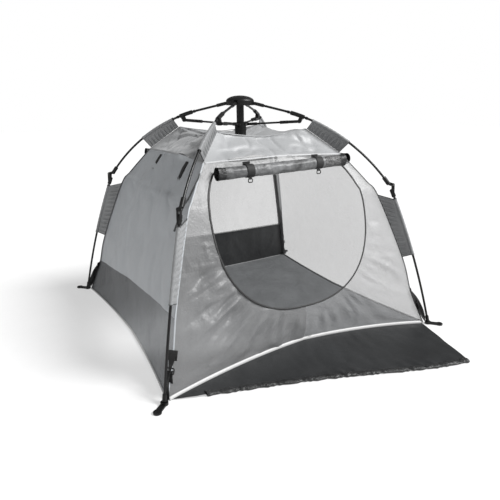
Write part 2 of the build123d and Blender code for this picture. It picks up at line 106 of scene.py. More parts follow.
# ---- lines --------------------------------------------------------------------------------
def curve_at(points, t):
    """A point of a line through points at parameter t: straight up to the seam, smooth below."""
    i = min(int(t), len(points) - 2)
    f = t - i
    if i < SEAM:
        return tuple(a + (b - a) * f for a, b in zip(points[i], points[i + 1]))
    pairs = list(zip(points[i], points[i + 1]))
    before = points[i - 1] if i > SEAM else tuple(2 * a - b for a, b in pairs)
    after = points[i + 2] if i + 2 < len(points) else tuple(2 * b - a for a, b in pairs)
    out = []
    for p, a, b, n in zip(before, points[i], points[i + 1], after):
        out.append(a + 0.5 * f * (b - p + f * (2 * p - 5 * a + 4 * b - n + f * (3 * (a - b) + n - p))))
    return tuple(out)


def on_rib(radius):
    """Centre of the rib's bent part at a distance from the hub's axis, and its outward normal."""
    cx, cz = RIB_BEND[0] - RIB_ARC * math.sin(RIB_SLOPE), RIB_BEND[1] - RIB_ARC * math.cos(RIB_SLOPE)
    slope = math.asin((radius - cx) / RIB_ARC)
    return (radius, cz + RIB_ARC * math.cos(slope)), (math.sin(slope), math.cos(slope))


def on_leg(share):
    """Centre of the leg's shallow arc, from 0 at the knee to 1 at the foot, and its outward normal."""
    dx, dz = LEG_FOOT[0] - LEG_TOP[0], LEG_FOOT[1] - LEG_TOP[1]
    length = math.hypot(dx, dz)
    normal = (-dz / length, dx / length)
    bow = 4 * LEG_BOW * share * (1 - share)
    point = (LEG_TOP[0] + dx * share + normal[0] * bow, LEG_TOP[1] + dz * share + normal[1] * bow)
    return point, normal


def turned(x, y, z, azimuth):
    """A point drawn facing +X, turned about Z to face the azimuth."""
    a = math.radians(azimuth)
    return Vector((x * math.cos(a) - y * math.sin(a), x * math.sin(a) + y * math.cos(a), z))


def corner_point(t, azimuth, out=0.0):
    """A point of a body corner's line, pushed outward."""
    r, z = curve_at(CORNER_LINE, t)
    return turned(r + out, 0.0, z, azimuth)


def on_side(side, s, t):
    """A point of one side's cloth: s is -1 to 1 across it, t is 0 at the roof centre and 7 at the hem."""
    corner = curve_at(CORNER_LINE, t)
    middle = curve_at(FRONT_LINE if side == "front" else MIDDLE_LINE, t)
    half = corner[0] / ROOT2
    share = 0.35 * abs(s) + 0.65 * s * s
    out = middle[0] + (half - middle[0]) * share
    z = middle[1] + (corner[1] - middle[1]) * share
    if RIDGE < t < SEAM:
        out -= 7 * math.sin(math.pi * (t - RIDGE)) * (1 - s * s)
    return turned(out, s * half, z, FACING[side])


def where(side, lateral, z):
    """The (s, t) of the point of a side's wall at a distance from its middle and a height."""
    s = lateral / 400
    for _ in range(14):
        low, high = SEAM, HEM
        for _ in range(24):
            t = (low + high) / 2
            if on_side(side, s, t).z > z:
                low = t
            else:
                high = t
        s = lateral / (curve_at(CORNER_LINE, t)[0] / ROOT2)
    return s, t


def resampled(points, count):
    """count points spaced evenly along a closed polyline."""
    steps = [math.dist(a, b) for a, b in zip(points, points[1:] + points[:1])]
    total, out, i, gone = sum(steps), [], 0, 0.0
    for k in range(count):
        target = total * k / count
        while gone + steps[i] < target:
            gone += steps[i]
            i += 1
        f = (target - gone) / steps[i]
        a, b = points[i], points[(i + 1) % len(points)]
        out.append((a[0] + (b[0] - a[0]) * f, a[1] + (b[1] - a[1]) * f))
    return out


def door_outline(count):
    """The D-shaped line of the zip as (distance from the middle, height), from its top middle round."""
    right = [(x, z) for x, z in DOOR_SIDE[::-1]]
    points = [(0, DOOR_SIDE[-1][1])] + right
    for i in range(49):
        a = math.pi * i / 48
        across = math.copysign(DOOR["half_width"] * abs(math.cos(a)) ** (2 / DOOR["power"]), math.cos(a))
        points.append((across, DOOR["middle"] - DOOR["drop"] * math.sin(a) ** (2 / DOOR["power"])))
    points += [(-x, z) for x, z in right[::-1]]
    return resampled(points, count)


# ---- flat cuts ----------------------------------------------------------------------------
def strip_area(middle, first, last):
    """Half a side's cloth between two levels, in square metres: width times slant, strip by strip."""
    corner, middle = ([(r, z if z > 2 else CUT_FOOT) for r, z in line] for line in (CORNER_LINE, middle))
    total = 0.0
    for i in range(first, last):
        (r0, z0), (r1, z1) = corner[i:i + 2]
        slant = math.hypot((r1 - r0) / ROOT2, z1 - z0) + math.dist(middle[i], middle[i + 1])
        total += (r0 + r1) / (2 * ROOT2) * slant / 2
    return total * MM * MM


def door_area(level):
    """Half the doorway's area within the wall or the roof, in square metres along the slope."""
    knee, top = CORNER_LINE[KNEE][1], DOOR_SIDE[-1][1]
    if level == "roof":
        area, (a, b) = DOOR_MEAN["roof"] * (top - knee), FRONT_LINE[2:4]
    else:
        power = DOOR["power"]
        bowl = math.gamma(1 + 1 / power) ** 2 / math.gamma(1 + 2 / power)
        area = DOOR["half_width"] * DOOR["drop"] * bowl + DOOR_MEAN["wall"] * (knee - DOOR["middle"])
        a, b = FRONT_LINE[4:6]
    return area * math.dist(a, b) / (a[1] - b[1]) * MM * MM


def panel_area(middle, first, last, door=0.0):
    """A strip less its part of the doorway, each to the square centimetre."""
    return round(round(strip_area(middle, first, last), 4) - round(door, 4), 4)


def floor_area(middle):
    """A quarter of the floor, between the middles of two sides and a corner."""
    return CORNER_LINE[HEM][0] / ROOT2 * (MIDDLE_LINE[HEM][0] + middle) / 2 * MM * MM


# width and length in metres, and the area where it isn't width times length; a web is two layers and
# a sleeve, cut 1.25 times as long as it is gathered; an apron is its outline and its hem's casing
PATTERN = {
    "top": (0.21, 0.21, panel_area(MIDDLE_LINE, 0, RIDGE)),
    "roof": (0.39, 0.285, panel_area(MIDDLE_LINE, RIDGE, KNEE)),
    "wall": (0.59, 0.655, panel_area(MIDDLE_LINE, KNEE, HEM)),
    "front_roof": (0.39, 0.285, panel_area(FRONT_LINE, RIDGE, KNEE, door_area("roof"))),
    "front_wall": (0.59, 0.655, panel_area(FRONT_LINE, KNEE, HEM, door_area("wall"))),
    "upper_web": (0.099, 0.214, None),
    "lower_web": (0.119, 0.344, None),
    "floor_back": (0.59, 0.59, round(floor_area(MIDDLE_LINE[HEM][0]), 3)),
    "floor_front": (0.59, 0.59, round(floor_area(FRONT_LINE[HEM][0]), 3)),
    "apron_left": (0.59, 0.31, round(0.0753 + HEM_CASING * 0.597, 3)),
    "apron_right": (0.59, 0.465, round(0.1670 + HEM_CASING * 0.501, 3)),
}


# ---- building meshes ----------------------------------------------------------------------
class Cloth:
    """Vertices in millimetres and faces with a material name each."""

    def __init__(self):
        self.points, self.faces, self.names = [], [], []

    def grid(self, rows, material, closed=False):
        """Faces between rows of points; closed joins each row's end to its start."""
        start, width = len(self.points), len(rows[0])
        for row in rows:
            self.points += [Vector(p) for p in row]
        for r in range(len(rows) - 1):
            for c in range(width if closed else width - 1):
                a, b = start + r * width + c, start + r * width + (c + 1) % width
                self.faces.append((a, b, b + width, a + width))
                self.names.append(material(r, c) if callable(material) else material)

    def tube(self, line, radius, material, sides=8, flat=1.0, up=UP, caps=True):
        """A tube along points; radius may be a function of the share of the way along."""
        rows = []
        for i, point in enumerate(line):
            ahead = (line[min(i + 1, len(line) - 1)] - line[max(i - 1, 0)]).normalized()
            side = ahead.cross(up).normalized()
            over = side.cross(ahead)
            size = radius(i / (len(line) - 1)) if callable(radius) else radius
            ring = []
            for k in range(sides):
                a = 2 * math.pi * k / sides
                ring.append(point + side * (size * math.cos(a)) + over * (size * flat * math.sin(a)))
            rows.append(ring)
        start = len(self.points)
        self.grid(rows, material, closed=True)
        if caps:
            self.faces.append(tuple(range(start + sides - 1, start - 1, -1)))
            self.faces.append(tuple(range(start + (len(rows) - 1) * sides, start + len(rows) * sides)))
            self.names += [material, material]

    def ribbon(self, line, across, width, material, thick=1.2):
        """A flat strap along points; across gives its width's direction, one vector or one per point."""
        rows = []
        for i, point in enumerate(line):
            ahead = (line[min(i + 1, len(line) - 1)] - line[max(i - 1, 0)]).normalized()
            wide = (across[i] if isinstance(across, list) else across).normalized()
            lift = ahead.cross(wide).normalized() * (thick / 2)
            wide = wide * (width / 2)
            rows.append([point + wide * w + lift * h for w, h in ((-1, -1), (1, -1), (1, 1), (-1, 1))])
        start = len(self.points)
        self.grid(rows, material, closed=True)
        last = len(self.points)
        self.faces += [(start + 3, start + 2, start + 1, start), tuple(range(last - 4, last))]
        self.names += [material, material]

    def cut(self, point, normal):
        """Cuts every face along a plane, so that pieces can be split there."""
        bm = self.bmesh()
        geometry = bm.verts[:] + bm.edges[:] + bm.faces[:]
        bmesh.ops.bisect_plane(bm, geom=geometry, dist=1e-4, plane_co=point, plane_no=normal)
        self.take(bm)

    def bmesh(self):
        bm = bmesh.new()
        verts = [bm.verts.new(p) for p in self.points]
        kinds = sorted(set(self.names))
        for face, name in zip(self.faces, self.names):
            bm.faces.new([verts[i] for i in face]).material_index = kinds.index(name)
        self.kinds = kinds
        return bm

    def take(self, bm):
        bm.verts.index_update()
        self.points = [v.co.copy() for v in bm.verts]
        self.faces = [tuple(v.index for v in f.verts) for f in bm.faces]
        self.names = [self.kinds[f.material_index] for f in bm.faces]
        bm.free()

    def normals(self):
        sums = [Vector((0, 0, 0)) for _ in self.points]
        for face in self.faces:
            a, b, c = (self.points[i] for i in (face[0], face[1], face[2]))
            d = self.points[face[-1]]
            area = (c - a).cross(d - b)
            for i in face:
                sums[i] += area
        return [n.normalized() if n.length > 1e-9 else UP for n in sums]

    def push(self, amount):
        """Moves each point along its normal by amount(point, normal)."""
        moves = [n * amount(p, n) for p, n in zip(self.points, self.normals())]
        self.points = [p + m for p, m in zip(self.points, moves)]

    def objects(self, key):
        """One object per value of key(face centre), each with the whole cloth's normals."""
        normals, groups = self.normals(), {}
        for face, name in zip(self.faces, self.names):
            centre = sum((self.points[i] for i in face), Vector()) / len(face)
            groups.setdefault(key(centre), []).append((face, name))
        out = {}
        for label, faces in sorted(groups.items()):
            used = sorted({i for face, _ in faces for i in face})
            new = {old: i for i, old in enumerate(used)}
            mesh = bpy.data.meshes.new(label)
            corners = [[new[i] for i in face] for face, _ in faces]
            mesh.from_pydata([self.points[i] * MM for i in used], [], corners)
            kinds = sorted({name for _, name in faces})
            for kind in kinds:
                mesh.materials.append(MATERIAL[kind])
            for polygon, (_, name) in zip(mesh.polygons, faces):
                polygon.material_index = kinds.index(name)
                polygon.use_smooth = True
            mesh.normals_split_custom_set_from_vertices([normals[i] for i in used])
            obj = bpy.data.objects.new(label, mesh)
            bpy.context.scene.collection.objects.link(obj)
            out[label] = obj
        return out

    def object(self, label, smooth=True):
        obj = self.objects(lambda centre: label)[label]
        if not smooth:
            for polygon in obj.data.polygons:
                polygon.use_smooth = False
        return obj


def spread(low, high, count):
    return [low + (high - low) * i / count for i in range(count + 1)]


# ---- materials ----------------------------------------------------------------------------
def node(tree, kind, **values):
    made = tree.nodes.new(kind)
    for key, value in values.items():
        if key in made.inputs:
            made.inputs[key].default_value = value
        else:
            setattr(made, key, value)
    return made


def grey(value, tint):
    """A grey that is a little cool where the tint is above 1."""
    return value * (2 - tint), value, value * tint


def woven(tree, place, colour, weave):
    """The colour darkened by a diagonal weave."""
    threads = node(tree, "ShaderNodeTexWave", Scale=float(weave), Distortion=0.6)
    threads.bands_direction = "DIAGONAL"
    tree.links.new(place, threads.inputs["Vector"])
    shade = node(tree, "ShaderNodeMixRGB", blend_type="MULTIPLY", Fac=0.3)
    tree.links.new(colour, shade.inputs["Color1"])
    tree.links.new(threads.outputs["Color"], shade.inputs["Color2"])
    return shade.outputs["Color"]


def material(name, shades, rough, tint=1.0, scale=180, bump=0.25, crease=0.0, crease_scale=14, weave=0.0,
             broad_scale=6.0, stretch=(1, 1, 1), **shader):
    """Cloth, webbing or plastic: mottled between two shades, with fine grain, creases and a weave."""
    made = bpy.data.materials.new(name)
    made.use_nodes = True
    tree = made.node_tree
    principled = tree.nodes["Principled BSDF"]
    principled.inputs["Roughness"].default_value = rough
    for key, value in shader.items():
        principled.inputs[key.replace("_", " ")].default_value = value
    place = node(tree, "ShaderNodeTexCoord").outputs["Object"]
    broad = node(tree, "ShaderNodeTexNoise", Scale=float(broad_scale), Detail=6.0, Roughness=0.62)
    fine = node(tree, "ShaderNodeTexNoise", Scale=float(scale), Detail=3.0)
    folds = node(tree, "ShaderNodeTexNoise", Scale=float(crease_scale), Detail=5.0, Distortion=1.4)
    drawn_out = node(tree, "ShaderNodeMapping")
    drawn_out.inputs["Scale"].default_value = stretch
    tree.links.new(place, drawn_out.inputs["Vector"])
    for texture, source in ((broad, drawn_out.outputs[0]), (fine, place), (folds, drawn_out.outputs[0])):
        tree.links.new(source, texture.inputs["Vector"])
    blend = node(tree, "ShaderNodeMath", operation="MULTIPLY_ADD")
    blend.inputs[1].default_value = 0.35
    tree.links.new(fine.outputs["Fac"], blend.inputs[0])
    tree.links.new(broad.outputs["Fac"], blend.inputs[2])
    ramp = node(tree, "ShaderNodeValToRGB")
    for stop, position, value in zip(ramp.color_ramp.elements, (0.42, 0.92), shades):
        stop.position = position
        stop.color = (*grey(value, tint), 1)
    tree.links.new(blend.outputs[0], ramp.inputs["Fac"])
    colour = ramp.outputs["Color"]
    height = node(tree, "ShaderNodeMath", operation="MULTIPLY_ADD")
    height.inputs[1].default_value = crease
    tree.links.new(folds.outputs["Fac"], height.inputs[0])
    tree.links.new(fine.outputs["Fac"], height.inputs[2])
    if weave:
        colour = woven(tree, place, colour, weave)
    tree.links.new(colour, principled.inputs["Base Color"])
    relief = node(tree, "ShaderNodeBump", Strength=bump, Distance=0.002)
    tree.links.new(height.outputs[0], relief.inputs["Height"])
    tree.links.new(relief.outputs["Normal"], principled.inputs["Normal"])
    return made


MATERIAL = {
    "roof": material("roof_cloth", (0.35, 0.40), 0.45, tint=1.02, crease=2.5, crease_scale=5, bump=0.4,
                     stretch=(0.6, 0.6, 2.0), Sheen_Weight=0.25, weave=900),
    "flap": material("flap_cloth", (0.44, 0.52), 0.5, tint=1.05, crease=3.0, crease_scale=7, bump=0.4,
                     Sheen_Weight=0.2, weave=900),
    "mesh": material("mesh_cloth", (0.36, 0.46), 0.36, tint=1.01, crease=6.0, crease_scale=9, bump=0.6,
                     Alpha=0.37, weave=1400),
    # painted shade: a darker, more opaque copy of the mesh cloth, used on the left half of the front wall
    "dense_mesh": material("shaded_mesh_cloth", (0.185, 0.245), 0.40, tint=1.01, crease=5.0,
                           crease_scale=9, bump=0.6, Alpha=0.74, weave=1400),
    "low_mesh": material("lower_mesh_cloth", (0.30, 0.42), 0.5, tint=1.03, crease=5.0, crease_scale=8,
                         bump=0.5, Alpha=0.5, weave=1400),
    "window": material("window_mesh", (0.44, 0.56), 0.6, crease=2.0, bump=0.3, Alpha=0.47, weave=1400),
    "band": material("band_cloth", (0.036, 0.060), 0.6, tint=1.03, crease=3.0, bump=0.4, weave=900),
    "fin": material("web_cloth", (0.20, 0.31), 0.42, tint=1.02, crease=3.0, crease_scale=22, bump=0.5,
                    Sheen_Weight=0.2, weave=900),
    "floor": material("floor_cloth", (0.21, 0.29), 0.42, tint=1.03, crease=5.0, crease_scale=8, bump=0.5,
                      weave=900),
    "apron": material("apron_cloth", (0.014, 0.025), 0.5, tint=1.06, crease=3.0, crease_scale=9,
                      bump=0.45, weave=900),
    "hem": material("hem_cloth", (0.008, 0.022), 0.45, tint=1.03, crease=4.0, crease_scale=60, bump=0.6),
    "roll": material("rolled_cloth", (0.012, 0.20), 0.45, tint=1.02, broad_scale=22, scale=60, crease=4.0,
                     crease_scale=26, bump=0.6, Sheen_Weight=0.2),
    "dark_roll": material("rolled_lining", (0.004, 0.16), 0.4, broad_scale=45, scale=90, crease=5.0,
                          crease_scale=50, bump=0.8),
    "binding": material("white_binding", (0.60, 0.70), 0.5, scale=300, weave=500),
    "tape": material("grey_tape", (0.05, 0.10), 0.6, tint=1.03, scale=300, weave=600),
    "zip": material("zip", (0.015, 0.045), 0.45, scale=500, bump=0.5, weave=700),
    "webbing": material("webbing", (0.008, 0.022), 0.7, scale=500, bump=0.5, weave=500),
    "plastic": material("moulded_plastic", (0.004, 0.010), 0.4, scale=900, bump=0.15,
                        Specular_IOR_Level=0.3),
    "rod": material("fibre_rod", (0.004, 0.010), 0.35, scale=700, bump=0.1, weave=300, Coat_Weight=0.1,
                    Specular_IOR_Level=0.3),
    "tube": material("coated_tube", (0.005, 0.012), 0.35, scale=1200, bump=0.12, Specular_IOR_Level=0.3),
    "steel": material("dark_steel", (0.12, 0.22), 0.35, scale=900, bump=0.1, Metallic=1.0),
    "ground": material("studio_floor", (0.40, 0.42), 0.9, scale=40, bump=0.02,
                       Emission_Color=(1.0, 1.0, 1.0, 1.0), Emission_Strength=0.5),
}


def outward(azimuth):
    return Vector((math.cos(math.radians(azimuth)), math.sin(math.radians(azimuth)), 0))


def corner_of(side, lateral):
    """The corner at the end of a side where its lateral distance has this sign."""
    azimuth = (FACING[side] + (45 if lateral > 0 else -45)) % 360
    return next(name for name, a in CORNERS.items() if a == azimuth)


def lateral_of(side, point):
    return point.dot(outward(FACING[side] + 90))


def sheet(obj, pattern):
    """Looks up the flat size of a sheet's cut, which comes from the panel's lines, and does nothing more
    with it.
    """
    width, length, area = PATTERN[pattern]


def halves(cloth, side, name):
    """The cloth cut at a side's middle line: each half as an object, with the corner it goes to."""
    cloth.cut(ORIGIN, outward(FACING[side] + 90))
    pieces = cloth.objects(lambda c: f"{name}.{side}.{corner_of(side, lateral_of(side, c))}")
    return [(obj, label.split(".")[2]) for label, obj in pieces.items()]


def roof_piece(obj, corner):
    """Cloth or trim that goes with a rib."""
    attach(obj, f"rib_{corner}")
    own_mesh(obj)


def wall_piece(obj, side, corner):
    """Cloth that goes with a leg."""
    lateral = outward(FACING[side] + 90)
    sign = 1 if outward(CORNERS[corner]).dot(lateral) > 0 else -1
    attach(obj, f"leg_{corner}")
    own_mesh(obj)


# ---- cloth body ---------------------------------------------------------------------------
def folds(point, scale, seed=0.0):
    return noise.noise(Vector((point.x, point.y, point.z + seed)) / scale)


def peak_folds(point):
    """Sharp folds that run out from each ridge peak, where the web pulls the roof up."""
    total = 0.0
    for azimuth in CORNERS.values():
        peak = corner_point(RIDGE, azimuth)
        near = max(0.0, 1 - (point - peak).length / 150)
        if near:
            across = (point - peak).normalized().dot(outward(azimuth + 90))
            total += 6 * near * near * (1 - near) * 4 * math.sin(9 * math.asin(max(-1, min(1, across))))
    return total


def ridge_folds(point):
    """Long folds across the sloping roof strips, pulled from one peak towards the next."""
    along = point.x if abs(point.y) > abs(point.x) else point.y
    level = (point.z - 727) / 90
    return 8 * (0.4 - abs(wobble(along / 260, level * 2.6 + along / 300, 31)) * 2.2)


def soft(point, amplitude, reach):
    """Broad soft waves with a few long creases, in millimetres."""
    broad = folds(point, reach)
    crease = 1 - abs(folds(Vector((point.x * 1.2, point.y * 1.2, point.z * 0.5)), reach * 0.45, 40))
    return amplitude * (0.8 * broad + 0.7 * (crease ** 7 - 0.3))


def edge_mask(point, side):
    """0 at the side's corner lines, 1 inside."""
    lateral = abs(lateral_of(side, point))
    level = max(-1.0, min(1.0, (point.z - 2) / 820))
    half = 587 - 384 * level ** 1.35 if level > 0 else 587
    return max(0.0, min(1.0, (half - lateral) / 60))


ROOF_ROWS = spread(0.04, RIDGE, 12) + spread(RIDGE, SEAM, 18)[1:]
UPPER_ROWS = spread(SEAM, KNEE, 10)
WALL_ROWS = spread(KNEE, HEM, 56)
ACROSS = spread(-1, 1, 84)


def ring_rows(side, count, rings):
    """Rows from the door's outline out to the edge of the wall, in (s, t), as points of the side."""
    inner = [where(side, x, z) for x, z in door_outline(count)]
    centre = (0.0, 4.1)
    outer = []
    for s, t in inner:
        ds, dt = s - centre[0], t - centre[1]
        reach = min([abs((1 if ds > 0 else -1) - centre[0]) / max(abs(ds), 1e-9),
                     abs((HEM if dt > 0 else SEAM) - centre[1]) / max(abs(dt), 1e-9)])
        outer.append([centre[0] + ds * reach, centre[1] + dt * reach])
    for corner in ((-1, HEM), (1, HEM), (-1, SEAM), (1, SEAM)):
        near = min(range(count), key=lambda i: math.dist(outer[i], corner))
        outer[near] = list(corner)
    rows = []
    for r in range(rings + 1):
        f = (r / rings) ** 1.25
        rows.append([on_side(side, a[0] + (b[0] - a[0]) * f, a[1] + (b[1] - a[1]) * f)
                     for a, b in zip(inner, outer)])
    return rows, inner


def zip_line(side, cloth, path, radius, colour, closed=True):
    """A zip or piping along (s, t) points of a side, proud of the cloth."""
    out = outward(FACING[side])
    line = [on_side(side, s, t) + out * 1.5 for s, t in path]
    line = line + line[:1] if closed else line
    cloth.tube(line, radius, colour, sides=6, flat=0.6, up=out, caps=not closed)


def radial_pull(side, point):
    """Creases that run out from the door's edge."""
    x, z = lateral_of(side, point), point.z
    angle = math.atan2(z - 450, x)
    far = math.hypot(x / 342, (z - 500) / 330) - 1
    strength = max(0.0, min(1.0, far * 5)) * max(0.0, 1.3 - far * 1.2)
    low = 0.4 + 0.9 * max(0.0, math.cos(angle + 2.6)) ** 2 + 0.7 * max(0.0, math.cos(angle - 0.1)) ** 2
    wide = 0.5 - abs(wobble(angle * 9, far * 1.3, 3.0)) * 2.4
    fine = 0.4 - abs(wobble(angle * 21, far * 2.2, 9.0)) * 2.0
    return strength * low * (13 * wide + 7 * fine)


def front_cloth(cloth):
    """The front wall round its open doorway, with the zip along the opening; its left half gets a darker,
    more opaque copy of the mesh cloth as painted shade.
    """
    rows, inner = ring_rows("front", 300, 26)
    cloth.grid(rows, "mesh", closed=True)
    cloth.cut(ORIGIN, Vector((1, 0, 0)))
    for i, face in enumerate(cloth.faces):
        centre = sum((cloth.points[k] for k in face), Vector()) / len(face)
        # painted shade: the left half of the front wall takes the darker, more opaque copy of the mesh
        # cloth
        if cloth.names[i] == "mesh" and centre.x < 0:
            cloth.names[i] = "dense_mesh"
    return inner


def plain_wall(cloth, side):
    """A wall without an opening, solid below a line at the back and above one at the left."""
    name = {"left": "flap", "back": "window", "right": "window"}[side]
    cloth.grid([[on_side(side, s, t) for s in ACROSS] for t in UPPER_ROWS + WALL_ROWS[1:]], name)
    if side == "right":
        return
    height, lean, below = (FLAP_EDGE, FLAP_LEAN, "low_mesh") if side == "left" else (BAND_HEIGHT, 0, "band")
    edge = outward(FACING[side] + 90)
    cloth.cut(Vector((0, 0, height)), UP - edge * lean)
    for i, face in enumerate(cloth.faces):
        centre = sum((cloth.points[k] for k in face), Vector()) / len(face)
        if centre.z < height + lean * centre.dot(edge):
            cloth.names[i] = below


def lift(side, point):
    """How far a point of the cloth stands proud of its smooth surface."""
    inside = edge_mask(point, side)
    roof = point.z > 727
    amount = soft(point, 8 if roof else 5, 150 if roof else 180) * inside + peak_folds(point) * inside
    if roof and max(abs(point.x), abs(point.y)) > 200:
        amount += ridge_folds(point) * inside
    if side == "front" and point.z < 727:
        amount += radial_pull(side, point) * inside
    if side == "left" and point.z < 727:
        amount += 3 * wobble(point.y / 90, point.z / 300 + point.y / 200, 21) * inside
    return amount * max(0.0, min(1.0, (point.z - 4) / 60))


def split_lines(cloth, side):
    cloth.cut(ORIGIN, outward(FACING[side] + 90))
    cloth.cut(Vector((0, 0, CORNER_LINE[KNEE][1])), UP)


def side_cloth(side):
    """All of one side's cloth as one surface, cut where it will be split between bodies."""
    cloth = Cloth()
    cloth.grid([[on_side(side, s, t) for s in ACROSS] for t in ROOF_ROWS], "roof")
    if side == "front":
        inner = front_cloth(cloth)
    else:
        plain_wall(cloth, side)
    split_lines(cloth, side)
    cloth.push(lambda point, normal: lift(side, point))
    if side == "back":
        edge = [on_side(side, *where(side, x, BAND_HEIGHT)) for x in spread(-515, 515, 60)]
        edge = [point - Vector((0, 2.5, 0)) for point in edge]
        cloth.ribbon(edge, UP, 7, "window", 1.0)
    if side == "front":
        zip_line(side, cloth, inner, 4.0, "zip")
    if side == "left":
        zip_line(side, cloth, [where(side, x, z) for x, z in LEFT_ZIP], 4.5, "tape", closed=False)
    split_lines(cloth, side)
    return cloth


def level_of(point):
    """Which of the three horizontal strips of cloth a point belongs to."""
    if point.z < CORNER_LINE[KNEE][1]:
        return "wall"
    reach = max(abs(point.x), abs(point.y))
    return "top" if reach < 196 and point.z > 760 else "roof"


def make_sides():
    for side in FACING:
        def key(centre, side=side):
            return f"{level_of(centre)}.{side}.{corner_of(side, lateral_of(side, centre))}"
        for label, obj in side_cloth(side).objects(key).items():
            level, _, corner = label.split(".")
            if level == "top":
                peak = corner_point(RIDGE, CORNERS[corner]) * MM
                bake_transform(obj)
            elif level == "roof":
                roof_piece(obj, corner)
            else:
                wall_piece(obj, side, corner)
            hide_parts(f"wall_{corner}" if level == "wall" else f"canopy_{corner}")
            pattern = f"front_{level}" if side == "front" and level != "top" else level
            sheet(obj, pattern)


# ---- webs between the cloth and the rods --------------------------------------------------
def web_row(place, f, azimuth, inner, wave, hem):
    """One section of a web: out along one layer, round the rod in the sleeve, back along the other."""
    (cx, cz), (nx, nz) = place
    ix, iz = (a + (b - a) * f for a, b in zip(*inner))
    sleeve = SLEEVE_RADIUS + 0.1 * wave + hem

    def layer(g, sign):
        x, z = ix + (cx - nx * sleeve - ix) * g, iz + (cz - nz * sleeve - iz) * g
        ruck = wave * math.sin(math.pi * min(1, 0.12 + g))
        ruck += 1.2 * wobble(f * 14, g * 5, azimuth)
        return x, ruck + sign * (1.0 + hem), z

    row = [layer(k / 10, -1) for k in range(11)]
    for degrees in (*range(-72, 73, 18), *range(108, 253, 18)):
        out, aside = math.sin(math.radians(degrees)), -math.cos(math.radians(degrees))
        row.append((cx + nx * sleeve * out, sleeve * aside, cz + nz * sleeve * out))
    row += [layer(1 - k / 10, 1) for k in range(11)]
    return [turned(*p, azimuth) for p in row]


def web(corner, name, body, centre_at, shape, steps=84):
    """A gathered web: two layers from the cloth's corner line, joined by a sleeve round the rod."""
    cloth, rows = Cloth(), []
    for i in range(steps + 1):
        f = i / steps
        tight = min(1.0, 12 * min(f, 1 - f) + 0.15)
        wave = math.sin(2 * math.pi * shape["pleats"] * f + 1.3 * math.sin(5 * f)) * 3.0 * tight
        hem = 0.7 if min(f, 1 - f) < 0.03 else 0.0
        place = centre_at(shape["from"] + (shape["to"] - shape["from"]) * f)
        rows.append(web_row(place, f, CORNERS[corner], shape["inner"], wave, hem))
    cloth.grid(rows, lambda r, c: "tape" if r < 1 or r > steps - 2 else "fin", closed=True)
    obj = cloth.object(f"{name}.{corner}")
    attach(obj, body)
    sheet(obj, name)


def make_webs():
    for corner in CORNERS:
        web(corner, "upper_web", f"rib_{corner}", on_rib, UPPER_WEB)
        web(corner, "lower_web", f"leg_{corner}", on_leg, LOWER_WEB)


# ---- trim ---------------------------------------------------------------------------------
def make_corner_tapes():
    """The bound seam on each corner of the body, folded to both walls, from the roof seam to the ground."""
    for corner, azimuth in CORNERS.items():
        wide, colour = {"front_left": (5, "flap"), "front_right": (7, "tape")}.get(corner, (15, "tape"))
        cloth, rows = Cloth(), []
        for t in spread(SEAM, HEM - 0.02, 90):
            fold = corner_point(t, azimuth, 1.4)
            left, right = (fold + outward(azimuth + turn) * wide for turn in (-135, 135))
            rows.append([left + outward(azimuth) * 0.8, fold, right + outward(azimuth) * 0.8])
        cloth.grid(rows, colour)
        obj = cloth.object(f"corner_tape.{corner}", smooth=False)
        start, end = (corner_point(t, azimuth) * MM for t in (SEAM + 0.3, KNEE + 0.9))
        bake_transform(obj)
        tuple(start)
        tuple(end)


def make_bindings():
    """White piping where the walls meet the floor, in halves that go with the walls."""
    for side in FACING:
        cloth = Cloth()
        out = outward(FACING[side])
        line = [on_side(side, s, HEM) + Vector((0, 0, 2.5)) + out * 2 for s in spread(-0.985, 0.985, 120)]
        thick = 8.0 if side == "front" else 4.5
        cloth.tube(line, thick, "binding", sides=8, flat=0.62, up=out)
        for obj, corner in halves(cloth, side, "binding"):
            wall_piece(obj, side, corner)


def make_seams():
    """Taped seams along the roof's edge on each side, in halves that go with the roof."""
    for side in FACING:
        cloth = Cloth()
        for level in (RIDGE, SEAM):
            out = (on_side(side, 0, level + 0.05) - on_side(side, 0, level)).normalized()
            line = [on_side(side, s, level) + outward(FACING[side]) * 1.2 for s in spread(-0.98, 0.98, 110)]
            cloth.ribbon(line, out, 7 if level == SEAM else 4, "roof", 1.0)
        for obj, corner in halves(cloth, side, "seam"):
            roof_piece(obj, corner)


def square_ring(cloth, centre, wide, tall, across, down, radius=1.5, colour="plastic"):
    """A small square webbing ring."""
    w, h = across.normalized() * (wide / 2), down.normalized() * (tall / 2)
    corners = [centre - w - h, centre + w - h, centre + w + h, centre - w + h]
    line = []
    for a, b in zip(corners, corners[1:] + corners[:1]):
        line += [a.lerp(b, f) for f in (0.12, 0.5, 0.88)]
    cloth.tube(line + line[:1], radius, colour, sides=6, up=w.cross(h).normalized(), caps=False)


